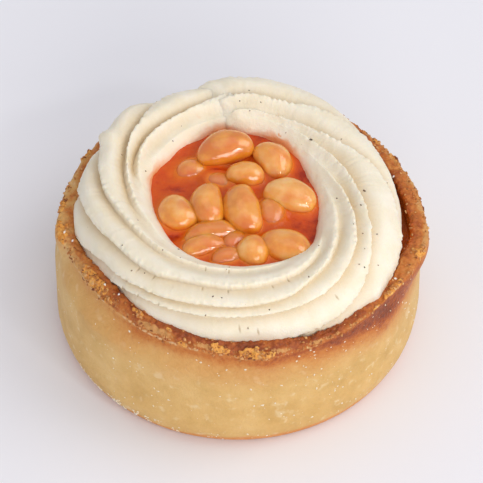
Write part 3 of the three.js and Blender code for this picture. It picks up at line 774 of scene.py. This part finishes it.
# %% Mashed potato
mash, tree, surface = finish_of("mashed_potato")
place = node(tree, "TexCoord").outputs["Object"]
marks = {name: node(tree, "Attribute", attribute_name=name).outputs["Fac"] for name in mash_marks}
cloud = node(tree, "TexNoise", {"Vector": place, "Scale": repeats(5.882), "Detail": 3.0})
starch = node(tree, "TexNoise", {"Vector": place, "Scale": repeats(0.3846), "Detail": 2.0})
tone = node(tree, "ValToRGB", {"Fac": cloud.outputs["Fac"]}, [(0.35, "#F3E8CD"), (0.65, "#F8EFDA")])
colour = tone.outputs["Color"]
# groove and crack are painted shade in the grooves and cracks; soaked is the sauce's own stain
for mark, code in [("groove", "#DCC49C"), ("crack", "#C2AC86"), ("soaked", "#EA9E62")]:
    colour = node(tree, "MixRGB", {"Fac": marks[mark], "Color1": colour, "Color2": tint(code)}).outputs[0]
relief = node(tree, "Bump", {"Height": starch.outputs["Fac"], "Strength": 0.45, "Distance": 0.3 * MM})
fill(tree, surface, Base_Color=colour, Roughness=0.52, Normal=relief.outputs[0],
     Subsurface_Weight=0.25, Subsurface_Radius=(1.0, 0.8, 0.55), Subsurface_Scale=0.8 * MM,
     Specular_IOR_Level=0.35)

points, faces = skin(mash_rings, mash_rings[0].mean(0), mash_rings[-1].mean(0))
add_piece("mash", points, faces, mash, ["potato_ring"], mash_marks)

# %% [markdown]
# ## The beans: their form
# Haricot beans are kidney shapes about 8 to 16 mm long. Each starts from a ball that is stretched,
# tapered and bent, and then laid in its place. A stretched ball looks too pointed, so its ends are
# filled out a little. Cooked skins are soft, so each bean gets its own shallow dents and wrinkles.
# Dropping beans with physics would lay them at random; a table lays them as in the photograph.

# %% Places and sizes of the beans
BEANS = [                        # middle x, y, z, length, width, thickness, heading, pitch, roll, bend
    (-3.3, 15.9, 44.2, 15.4, 10.0, 8.2, 17, -6, 0, 0.7),
    (9.4, 12.7, 43.1, 12.4, 9.0, 7.6, -58, 4, 0, 0.6), (2.1, 7.6, 43.2, 10.2, 7.4, 6.4, -4, 0, 0, 0.3),
    (-11.6, 10.6, 41.1, 9.4, 7.2, 6.0, 12, 0, 0, 0.3), (-4.9, 6.4, 41.0, 9.2, 6.4, 5.6, -20, 0, 0, 0.3),
    (-7.4, -3.8, 43.9, 13.4, 9.0, 8.0, 94, -4, 0, 0.6),
    (1.8, -5.4, 43.7, 15.8, 9.9, 8.4, 104, -2, 0, 0.7),
    (13.9, -0.3, 43.5, 14.2, 9.6, 7.8, -24, 0, 0, 0.6),
    (8.9, -4.6, 41.5, 10.4, 8.6, 6.6, 80, 0, 0, 0.2),
    (-15.1, -5.7, 43.0, 11.8, 9.6, 7.2, 128, 0, 0, 0.5),
    (-6.9, -12.6, 42.2, 14.4, 6.8, 6.2, 14, 0, 0, 0.9),
    (-8.6, -16.9, 42.0, 12.0, 7.0, 6.4, 18, 0, 0, 0.6),
    (4.2, -19.0, 42.9, 9.2, 8.4, 7.0, 100, 0, 0, 0.3),
    (-2.4, -20.4, 41.8, 8.8, 6.2, 5.6, 12, 0, 0, 0.3),
    (12.2, -17.4, 42.8, 13.8, 10.2, 7.8, -24, 0, 0, 0.5),
    (-0.6, -14.4, 41.4, 8.4, 6.6, 5.6, 50, 0, 0, 0.2),
]
print("beans:", len(BEANS))

# %% Shape of a bean
SAUCE_TOP = SAUCE_LEVEL + 1.1    # where the sauce meets the beans, a little above its level
PLUMP = 0.84                     # below 1 fills out the ends of a bean
BEAN_RINGS, BEAN_CORNERS = 44, 52


def turned(heading, pitch, roll):
    """the turn of a bean: roll about its length first, then pitch, then heading"""
    h, p, r = np.radians([heading, pitch, roll])
    about_z = np.array([[np.cos(h), -np.sin(h), 0], [np.sin(h), np.cos(h), 0], [0, 0, 1]])
    about_y = np.array([[np.cos(p), 0, np.sin(p)], [0, 1, 0], [-np.sin(p), 0, np.cos(p)]])
    about_x = np.array([[1, 0, 0], [0, np.cos(r), -np.sin(r)], [0, np.sin(r), np.cos(r)]])
    return about_z @ about_y @ about_x


def bean_rings(x, y, z, length, width, thickness, heading, pitch, roll, bend, seed):
    """one bean as rings round its length, with soft dents"""
    lie = np.radians(np.linspace(4, 176, BEAN_RINGS))[:, None]
    around = np.radians(np.linspace(0, 360, BEAN_CORNERS, endpoint=False))[None, :]
    along = -np.cos(lie) + 0 * around
    full = np.sin(lie) ** PLUMP
    way = 1 if seed % 4 else -1      # which end is the thinner one
    taper = 1 - 0.07 * along * way
    curved = bend * (1 - 2 * along ** 2)
    local = np.stack([along * length / 2, full * np.cos(around) * taper * width / 2 + curved,
                      full * np.sin(around) * taper * thickness / 2], -1)
    dents = 0.32 * grain(local, 5.2, seed) + 0.08 * grain(local, 2.4, seed + 1)
    dents = dents + 0.06 * grain(local, 1.0, seed + 2) * smooth(local[..., 0] * way, 0, length / 3)
    local = local + out_of(local) * np.abs(full)[..., None] * dents[..., None]
    return local @ turned(heading, pitch, roll).T + np.array([x, y, z])

# %% [markdown]
# ## The beans: their finish
# A cooked bean in sauce is a starchy body in a wet skin: light goes in a little way and comes out
# warm, and the film of sauce on it gives sharp highlights. The film is redder low down. So the body
# is matt with light below its surface, and the film is a clear coat with its own fine creases.

# %% Cooked haricot bean
bean_skin, tree, surface = finish_of("cooked_haricot_bean")
place = node(tree, "TexCoord").outputs["Object"]
low_down = node(tree, "Attribute", attribute_name="low").outputs["Fac"]
own = node(tree, "Attribute", attribute_name="own").outputs["Fac"]
cloud = node(tree, "TexNoise", {"Vector": place, "Scale": repeats(4.167), "Detail": 3.0})
vein = node(tree, "TexNoise", {"Vector": place, "Scale": repeats(0.7692), "Detail": 3.0})
mixed = node(tree, "Math", {0: cloud.outputs["Fac"], 1: own}, operation="ADD")
tone = node(tree, "ValToRGB", {"Fac": mixed.outputs[0]},
            [(0.3, "#DC8012"), (0.9, "#F8C172"), (0.55, "#EE9D30")])
colour = node(tree, "MixRGB", {"Fac": low_down, "Color1": tone.outputs["Color"],
                               "Color2": tint("#E26A1C")})
relief = node(tree, "Bump", {"Height": vein.outputs["Fac"], "Strength": 0.25, "Distance": 0.3 * MM})
crease = node(tree, "TexNoise", {"Vector": place, "Scale": repeats(1.613), "Detail": 3.0, "Roughness": 0.6})
film = node(tree, "Bump", {"Height": crease.outputs["Fac"], "Strength": 0.35, "Distance": 0.3 * MM})
fill(tree, surface, Base_Color=colour.outputs[0], Roughness=0.45, Normal=relief.outputs[0],
     Subsurface_Weight=0.6, Subsurface_Radius=(1.0, 0.5, 0.2), Subsurface_Scale=2.5 * MM,
     Specular_IOR_Level=0.2, Coat_Weight=1.0, Coat_IOR=1.8, Coat_Roughness=0.05,
     Coat_Normal=film.outputs[0])

# %% Each bean in the sauce
OWN_TONE = [-0.1, 0.1, 0.12, -0.05, -0.15, -0.03, 0.0, 0.22,   # how much paler each bean is than the others
            -0.15, 0.06, -0.2, -0.1, 0.08, -0.1, 0.04, -0.2]
for i, (bean, paler) in enumerate(zip(BEANS, OWN_TONE)):
    rings = bean_rings(*bean, seed=100 + 2 * i)
    low = 1 - smooth(rings[..., 2], SAUCE_TOP + 0.2, SAUCE_TOP + 2.2 + 0.9 * grain(rings, 3, 60 + i))
    low = np.clip(low + 0.35 * smooth(grain(rings, 4.5, 80 + i), 0.1, 0.5), 0, 1)
    points, faces = skin(rings, rings[0].mean(0), rings[-1].mean(0))
    name = f"bean_{i + 1:02d}"
    add_piece(name + "_cooked", points, faces, bean_skin, [name],
              {"low": np.append(low, [0, 0]), "own": np.full(len(points), paler)})

# %% [markdown]
# ## The sauce: its form
# Tomato sauce is thick, so it climbs a little up every bean and up the mash. Its top is a disc of rings
# whose height is worked out from how near each bean is. A fluid simulation would find the same
# form, with far more work. Two beans that lie wholly under it only lift it a little.

# %% Distance from a bean
def bean_distance(points, bean, grow=0.0):
    """mm from a bean's surface, nearly: below 0 inside it"""
    x, y, z, length, width, thickness, heading, pitch, roll, bend = bean
    local = (points - np.array([x, y, z])) @ turned(heading, pitch, roll)
    along = np.clip(local[..., 0] / (length / 2), -1, 1)
    local = local - np.stack([0 * along, bend * (1 - 2 * along ** 2), 0 * along], -1)
    half = np.array([length, width, thickness]) / 2 + grow
    how_far = np.linalg.norm(local / half, axis=-1)
    return (how_far - 1) * np.minimum(half.min() * 1.15, half.mean())

# %% Top of the sauce
SAUCE_CORNERS, TOP_RINGS = 200, 52
SOAK = 0.7                       # mm by which the sauce reaches into the mash, so that no gap shows
HIGHEST_CLIMB = 1.2              # mm
SUNK_BEANS = [(-13.6, 2.6, 37.6, 10, 7, 6, 60, 0, 0, 0.3), (17.6, -7.2, 37.8, 10, 7, 6, 70, 0, 0, 0.3)]
around = np.linspace(0, 360, SAUCE_CORNERS, endpoint=False)
base = FILLING_LEVEL + GAP
side_heights = np.array([33, 34.5, 36, 37.5, 38.5, 39.5, 40.5, 41.4, SAUCE_TOP])
shares = np.concatenate([[0.04, 0.3, 0.6, 0.85, 1], np.ones(len(side_heights)),
                         np.linspace(0.985, 0.02, TOP_RINGS)])
levels = np.concatenate([np.full(5, base), side_heights, np.full(TOP_RINGS, SAUCE_TOP)])
sink = np.clip((levels - ROPE_MIDDLE) / (ROPE_HALF_HEIGHT + GAP), -1, 1)[:, None]
at = turn_of(around)[None, :]
hole = rope_radius(at) - (rope_half_width(at) - SOAK) * np.sqrt(1 - sink ** 2)
lie = shares[:, None] * hole
sauce_rings = np.stack([lie * np.cos(np.radians(around)) + RING_CENTRE[0],
                        lie * np.sin(np.radians(around)) + RING_CENTRE[1], levels[:, None] + 0 * lie], -1)
top = (levels > SAUCE_TOP - 0.01)[:, None] & (shares > 0)[:, None]
climb = 0.3 * np.sin(sauce_rings[..., 0] * 0.35 + 1) * np.cos(sauce_rings[..., 1] * 0.3)
climb = climb + 0.2 * grain(sauce_rings, 3.0, 40) + 0.1 * grain(sauce_rings, 1.2, 41)
for bean in BEANS:
    climb = climb + 0.8 * np.exp(-np.maximum(bean_distance(sauce_rings, bean), 0) / 0.7)
for bean in SUNK_BEANS:
    climb = climb + 0.35 * np.exp(-np.maximum(bean_distance(sauce_rings, bean), 0) / 1.6)
climb = climb + 0.4 * np.exp(-(1 - shares[:, None]) * hole / 1.0)
sauce_rings[..., 2] += np.where(top, np.minimum(climb, HIGHEST_CLIMB), 0)
print("sauce rings:", sauce_rings.shape)

# %% Thin, deep and shaded places of the sauce
near = np.min([bean_distance(sauce_rings, bean) for bean in BEANS + SUNK_BEANS], axis=0)
thin_and_lit = np.exp(-np.maximum(near, 0) / 0.9)
# the dark places are partly deeper sauce and partly painted shade, between the beans and by the mash's inner
# side
DEEP_AND_SHADED = [                         # x, y, size in mm and strength of the dark places between beans
    (-5.3, 10.1, 2.6, 1.2), (-15.9, -13.6, 2.2, 1.0), (19.2, -14.6, 1.8, 0.7), (19.4, -0.6, 1.4, 0.9),
    (17.6, -17.7, 1.3, 0.7), (6.3, -22.8, 1.6, 0.7), (-15.4, 2.6, 2.6, 0.5), (3.8, -16.3, 1.0, 0.5),
]
across_x, across_y = sauce_rings[..., 0], sauce_rings[..., 1]
deep_and_shaded = np.max([how * np.exp(-((across_x - x) ** 2 + (across_y - y) ** 2) / size ** 2)
               for x, y, size, how in DEEP_AND_SHADED], axis=0)
# painted shade as well: darker in the dark places and towards the right (+x)
thin_and_lit = np.clip(0.15 + 0.8 * thin_and_lit - 0.4 * deep_and_shaded - 0.006 * across_x, -0.2, 1)

# %% [markdown]
# ## The sauce: its finish
# Cooked tomato sauce is a red pulp in a clear juice, so it is deep red where it is deep, and orange and
# clearer where a bean or the mash lies close below. The eye takes that change for depth, so a
# mark on the corners sets the colour. The same mark also carries painted shade in the dark places
# between the beans and by the mash, and darkens the sauce towards the right. A thin clear coat with a fine
# bump is its wet skin.

# %% Tomato sauce
sauce, tree, surface = finish_of("tomato_sauce")
place = node(tree, "TexCoord").outputs["Object"]
shallow_and_lit = node(tree, "Attribute", attribute_name="thin_and_lit").outputs["Fac"]
pulp = node(tree, "TexNoise", {"Vector": place, "Scale": repeats(2.381), "Detail": 4.0, "Roughness": 0.65})
stir = node(tree, "MapRange", {"Value": pulp.outputs["Fac"], "From Min": 0.3, "From Max": 0.7,
                               "To Min": -0.12, "To Max": 0.12})
mixed = node(tree, "Math", {0: shallow_and_lit, 1: stir.outputs[0]}, operation="ADD")
tone = node(tree, "ValToRGB", {"Fac": mixed.outputs[0]},
            [(0.0, "#A42E0C"), (1.0, "#EC8628"), (0.22, "#CE4E14"), (0.6, "#DC6414")])
relief = node(tree, "Bump", {"Height": pulp.outputs["Fac"], "Strength": 0.5, "Distance": 0.7 * MM})
fill(tree, surface, Base_Color=tone.outputs["Color"], Roughness=0.25, Normal=relief.outputs[0],
     Subsurface_Weight=0.15, Subsurface_Radius=(1.0, 0.25, 0.1), Subsurface_Scale=1.2 * MM,
     Coat_Weight=0.25, Coat_IOR=1.8, Coat_Roughness=0.03, Specular_IOR_Level=0.05,
     Coat_Normal=relief.outputs[0])

middle_top = float(sauce_rings[-1, :, 2].mean())
points, faces = skin(sauce_rings, (*RING_CENTRE, base), (*RING_CENTRE, middle_top))
add_piece("tomato_sauce_pool", points, faces, sauce, ["sauce"],
          {"thin_and_lit": np.append(thin_and_lit, [0, 0])})

# %% [markdown]
# ## Specks and crumbs: one way to scatter them
# Ground pepper, flour dust and crumbs are what make a pie look baked by hand. Each is a small lump
# with twenty faces, its own shape and its own turn, nearly half sunk in what carries it. A particle
# system would scatter them too, but here they are one mesh of real lumps.

# %% One lump
GOLD = (1 + 5 ** 0.5) / 2
SIGNS = [(i, j * GOLD) for i in (-1, 1) for j in (-1, 1)]
LUMP = np.array([(0, a, b) for a, b in SIGNS]
                + [(a, b, 0) for a, b in SIGNS]
                + [(b, 0, a) for a, b in SIGNS]) / 1.9   # which brings each corner to 1 from the middle
NEIGHBOURS = 1.1                 # corners nearer than this share an edge


def is_face(a, b, c):
    """whether three corners of the lump lie next to one another"""
    return all(np.linalg.norm(LUMP[i] - LUMP[j]) < NEIGHBOURS for i, j in [(a, b), (b, c), (a, c)])


def turned_out(a, b, c):
    """the corners of a face in the order that makes it face outward"""
    outward = np.dot(np.cross(LUMP[b] - LUMP[a], LUMP[c] - LUMP[a]), LUMP[a]) > 0
    return (a, b, c) if outward else (c, b, a)


LUMP_CORNERS = len(LUMP)
LUMP_FACES = [turned_out(a, b, c)
              for a in range(LUMP_CORNERS)
              for b in range(a + 1, LUMP_CORNERS)
              for c in range(b + 1, LUMP_CORNERS)
              if is_face(a, b, c)]
print("faces of a lump:", len(LUMP_FACES))

# %% Scattered lumps
def scatter(name, places, straight, sizes, flatness, material, seed):
    """one mesh of many lumps, each nearly half sunk in the surface that it lies on"""
    chance = np.random.default_rng(seed)
    points, faces = [], []
    for place, up, size in zip(places, straight, sizes):
        along = np.cross(up, chance.normal(size=3))
        along /= np.linalg.norm(along)
        stand = np.array([along, np.cross(up, along), up])
        uneven = 1 + 0.3 * chance.normal(size=(LUMP_CORNERS, 1)).clip(-1, 1)
        shape = LUMP * uneven * (1.2, 0.8, flatness)
        faces += [tuple(len(points) * LUMP_CORNERS + k for k in face) for face in LUMP_FACES]
        points.append(place + (shape @ stand) * size / 2 + up * size * flatness * 0.1)
    add_piece(name, np.vstack(points), faces, material)

# %% Places, sizes and finish of specks
def chosen(weight, count, seed):
    """numbers of corners picked by chance, more often where the weight is high"""
    chance = np.random.default_rng(seed)
    return chance.choice(weight.size, count, replace=False, p=weight.ravel() / weight.sum())


def small_sizes(count, low, high, seed):
    """sizes in mm by chance, most of them near the low one, as sifted crumbs are"""
    return low + (high - low) * np.random.default_rng(seed).random(count) ** 2.5


def highest_near(points, x, y, within):
    """the number of the highest corner that lies within some mm of a place seen from above"""
    close = np.flatnonzero(np.hypot(points[:, 0] - x, points[:, 1] - y) < within)
    return close[points[close, 2].argmax()]


def speck_finish(name, size, stops, strength, depth, **sockets):
    """a finish with patches of a size in mm, and a relief of a depth in mm where they change"""
    made, tree, surface = finish_of(name)
    place = node(tree, "TexCoord").outputs["Object"]
    patches = node(tree, "TexNoise", {"Vector": place, "Scale": repeats(size)})
    tone = node(tree, "ValToRGB", {"Fac": patches.outputs["Fac"]}, stops)
    relief = node(tree, "Bump", {"Height": patches.outputs["Fac"], "Strength": strength,
                                 "Distance": depth * MM})
    fill(tree, surface, Base_Color=tone.outputs["Color"], Normal=relief.outputs[0], **sockets)
    return made

# %% [markdown]
# ## Pepper
# Ground pepper is broken husk, grey brown and dull. The larger grains lie where the photograph shows
# them, each on the highest point of the mash at its place, so that it sits on the mash from any
# side. Smaller ones lie by chance where the mash faces up.

# %% Pepper on the mash
PEPPER = [                       # x and y, mm
    (-14.5, -19.6), (-29.4, -20.4), (-23.6, -28.8), (-1.5, -26.6), (-5.5, -36.8), (-4.0, -37.9),
    (-7.7, -41.5), (-27.0, -27.5), (-19.2, -22.5), (20.8, -19.6), (31.3, -25.4), (32.1, -26.1),
    (35.7, -23.3), (17.5, -31.4), (7.7, -40.0), (2.5, -43.0), (32.4, -21.1), (39.5, 3.6), (31.3, -7.2),
    (31.8, -16.2), (36.2, -14.5), (25.2, -3.5), (27.8, 17.8), (3.4, 34.4), (6.6, 29.9), (1.0, 30.2),
    (3.4, 27.0), (12.4, 21.0), (-30.1, 12.4), (-16.9, 17.9), (-23.5, 7.2), (19.9, 17.0), (32.8, -0.7),
]
SMALL_GRAINS = 30
mash_points, mash_out = mash_rings.reshape(-1, 3), out_of(mash_rings).reshape(-1, 3)
spots = [highest_near(mash_points, x, y, 0.6) for x, y in PEPPER]
shows = (mash_out[:, 2] > 0.25) * (mash_points[:, 2] > 36)
spots = np.concatenate([spots, chosen(shows.astype(float), SMALL_GRAINS, 50)])
given = 0.34 + 0.16 * np.random.default_rng(51).random(len(PEPPER))
given[-2:] = 0.8                 # the last two in the table are coarse grains
sizes = np.concatenate([given, small_sizes(SMALL_GRAINS, 0.14, 0.34, 52)])
pepper = speck_finish("ground_pepper", 0.6667, [(0.4, "#54443A"), (0.6, "#A08464")], 0.4, 0.1, Roughness=0.7)
scatter("pepper_specks", mash_points[spots], mash_out[spots], sizes, 0.6, pepper, 53)

# %% [markdown]
# ## Flour
# Flour from the board stays on the wall as white specks, thinly all round and thickly in a band low
# down at the left. It is dry powder, so it is nearly white and fully matt. Where it lies is a weight
# on each corner of the crust, multiplied by the area that the corner stands for.

# %% Flour on the wall
FLOUR_ALL_ROUND, FLOUR_AT_FOOT = 330, 120
crust_points, crust_out = crust_rings.reshape(-1, 3), out_of(crust_rings).reshape(-1, 3)
on_wall = smooth(height, 0.5, 1.5) * (1 - smooth(height, 33, 35)) * (radius > 46) + 0 * angle
section_steps = np.hypot(np.diff(section_radius), np.diff(section_height))
area = np.gradient(np.concatenate([[0], np.cumsum(section_steps)]))[:, None]
dusty = on_wall * area * (0.25 + bump(side, 305, 40) + 0.5 * bump(side, 230, 30))
dusty = dusty * (0.25 + smooth(grain(crust_rings, 9, 60), -0.1, 0.5))
low_edge = on_wall * area * smooth(height, 1.4, 2.4) * (1 - smooth(height, 3.6, 6))
low_edge = low_edge * (bump(side, 224, 16) + 0.6 * bump(side, 246, 12))
low_edge = low_edge * smooth(grain(crust_rings, 3, 61), 0.0, 0.4)
spots = np.concatenate([chosen(dusty, FLOUR_ALL_ROUND, 62), chosen(low_edge, FLOUR_AT_FOOT, 63)])
sizes = np.concatenate([small_sizes(FLOUR_ALL_ROUND, 0.16, 0.75, 64),
                        small_sizes(FLOUR_AT_FOOT, 0.35, 0.9, 65)])
flour = speck_finish("flour_dust", 0.4, [(0.4, "#F0DDB8"), (0.6, "#FBF3E2")], 0.5, 0.1, Roughness=0.85)
scatter("flour_specks", crust_points[spots], crust_out[spots], sizes, 0.45, flour, 66)

# %% [markdown]
# ## Crumbs
# Where a knife trimmed the rim, it left crumbs that toasted in the oven: some pale, some nearly burnt.
# They lie thickest along the lip and on the flakes. Their patches of colour are larger than the
# crumbs, so that each crumb has nearly one colour of its own.

# %% Crumbs on the rim
CRUMBS = 1300
near_lip = np.exp(-((across_rim - 0.3) / 0.9) ** 2)[:, None]
near_lip = near_lip * (0.45 + 0.55 * bump(side, 240, 60) + 0.3 * bump(side, 10, 50))
crumbly = area * (near_lip + 0.18 * on_top + 1.4 * flake * on_top)
crumbly = crumbly * (0.3 + smooth(grain(crust_rings, 5, 70), -0.2, 0.4))
spots = chosen(crumbly * (across_rim < 6)[:, None] * (across_rim > -1.2)[:, None], CRUMBS, 71)
crumb = speck_finish("pastry_crumbs", 1.6667, [(0.32, "#7A3C18"), (0.7, "#E8B878"), (0.5, "#C07A3C")],
                     0.5, 0.3, Roughness=0.6)
scatter("rim_crumbs", crust_points[spots], crust_out[spots], small_sizes(CRUMBS, 0.25, 1.05, 72), 0.6,
        crumb, 73)

# %% [markdown]
# ## Beads of fat, painted white as glints
# Fat that ran out of the pastry sets in a few small beads on the rim. They are smooth and wet
# looking, so they are glossy under a clear coat. Their near-white colour is a painted highlight: each stands
# for one glint of light.

# %% Beads of fat, painted white as glints
GLINT_BEADS = [                        # angle, radius
    (18, 42.0), (331, 45.3), (188.4, 46.0), (192.1, 45.1), (217.6, 43.1), (223.2, 42.9),
]
GLINT_BEAD_SIZE = 0.8                  # mm
spots = []
for bead_angle, bead_radius in GLINT_BEADS:
    way_out = np.array([math.cos(math.radians(bead_angle)), math.sin(math.radians(bead_angle))])
    spots.append(highest_near(crust_points, *(RIM_CENTRE + bead_radius * way_out), 0.5))
# painted highlight: the beads are near white where the rim glints
glint_bead_finish = speck_finish("fat_bead_painted_white_as_glint", 1.111, [(0.4, "#F4E8D4"), (0.6, "#FFFFFF")], 0.2, 0.1,
                        Roughness=0.15, Coat_Weight=1.0)
scatter("fat_beads_painted_as_glints", crust_points[spots], crust_out[spots], np.full(len(GLINT_BEADS), GLINT_BEAD_SIZE), 0.7,
        glint_bead_finish, 80)
